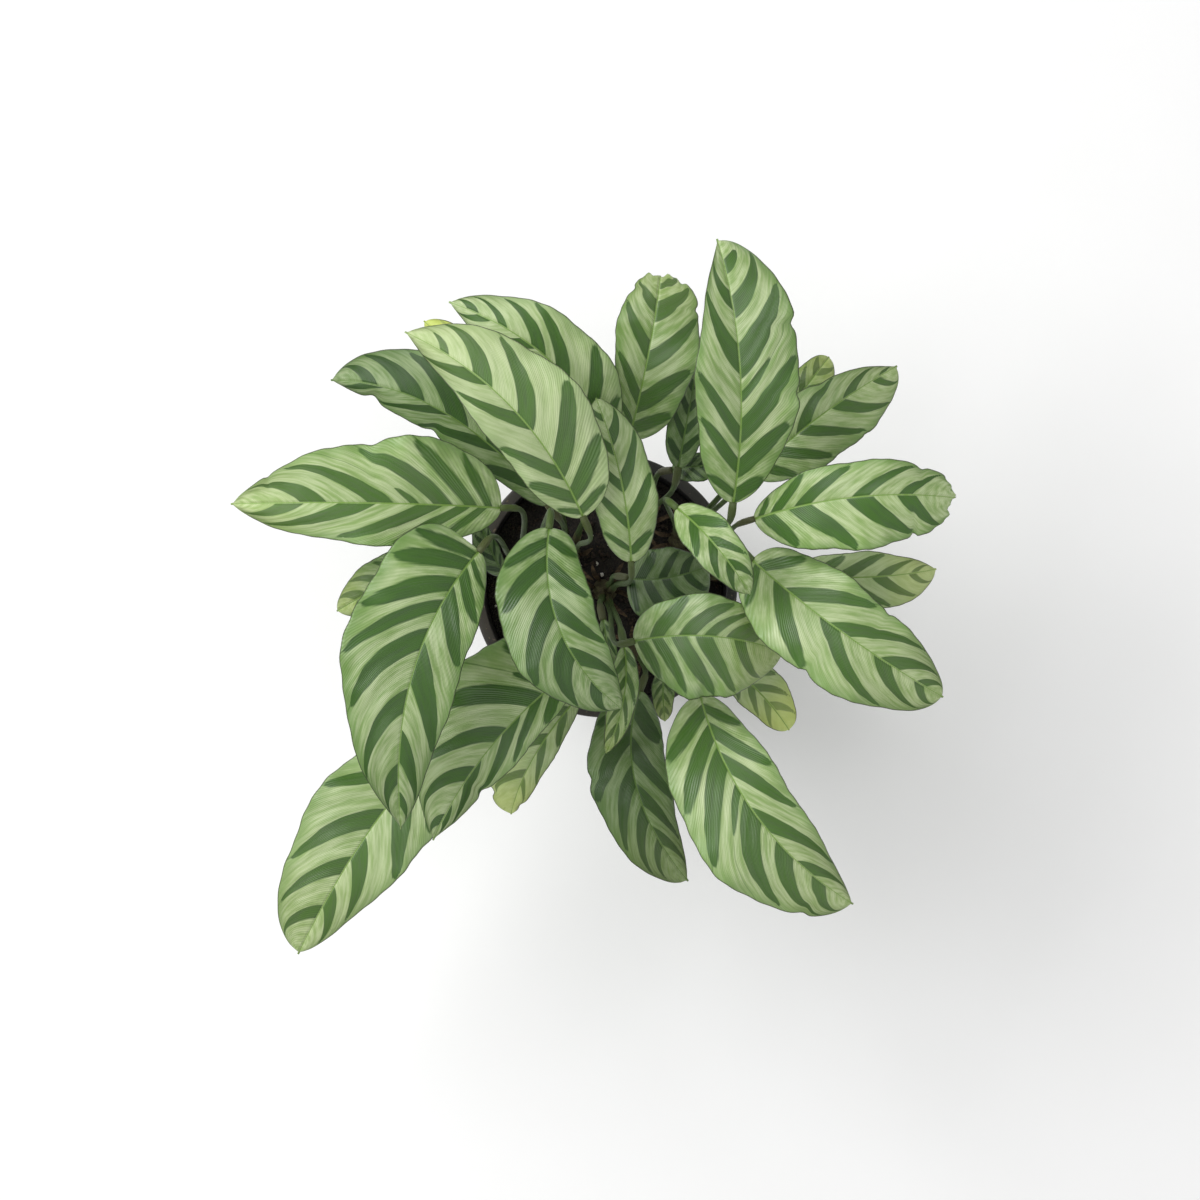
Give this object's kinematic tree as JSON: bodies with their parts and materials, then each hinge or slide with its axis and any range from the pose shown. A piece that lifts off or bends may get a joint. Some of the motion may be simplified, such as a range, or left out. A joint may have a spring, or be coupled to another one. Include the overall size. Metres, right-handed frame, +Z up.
{
  "type": "potted prayer plant",
  "caption": "Prayer plant with broad feather-striped leaves on slender arching stalks, growing from soil in a round tapered plastic nursery pot.",
  "frame": {"origin": "middle of the pot's flat underside, on the pot's axis", "axes": "+Z up along the pot's axis, +Y towards the top of the view from above, +X towards its right"},
  "size_m": [0.3609, 0.358, 0.3135],
  "materials": {
    "leaf_blade": "satin striped leaf, pale green with dark green feather bands",
    "leaf_stalk": "satin olive green stalk with a pinkish brown knee",
    "soil": "matt dark peat with pale grains",
    "pot_plastic": "satin black moulded plastic"
  },
  "bodies": {
    "root": {"pot": "pot_plastic", "soil": "soil", "stalks_north_west": "leaf_stalk", "stalks_north": "leaf_stalk", "stalks_north_east": "leaf_stalk", "stalks_east": "leaf_stalk", "stalks_south_east": "leaf_stalk", "stalks_south_west": "leaf_stalk", "stalks_west": "leaf_stalk", "stalks_middle": "leaf_stalk", "leaf_01": "leaf_blade", "leaf_02": "leaf_blade", "leaf_03": "leaf_blade", "leaf_04": "leaf_blade", "leaf_05": "leaf_blade", "leaf_06": "leaf_blade", "leaf_07": "leaf_blade", "leaf_08": "leaf_blade", "leaf_09": "leaf_blade", "leaf_10": "leaf_blade", "leaf_11": "leaf_blade", "leaf_12": "leaf_blade", "leaf_13": "leaf_blade", "leaf_14": "leaf_blade", "leaf_15": "leaf_blade", "leaf_16": "leaf_blade", "leaf_17": "leaf_blade", "leaf_18": "leaf_blade", "leaf_19": "leaf_blade", "leaf_20": "leaf_blade", "leaf_21": "leaf_blade", "leaf_22": "leaf_blade", "leaf_23": "leaf_blade", "leaf_24": "leaf_blade", "leaf_25": "leaf_blade", "leaf_26": "leaf_blade", "leaf_27": "leaf_blade", "leaf_28": "leaf_blade", "leaf_29": "leaf_blade", "leaf_30": "leaf_blade", "leaf_31": "leaf_blade"}
  },
  "joints": []
}
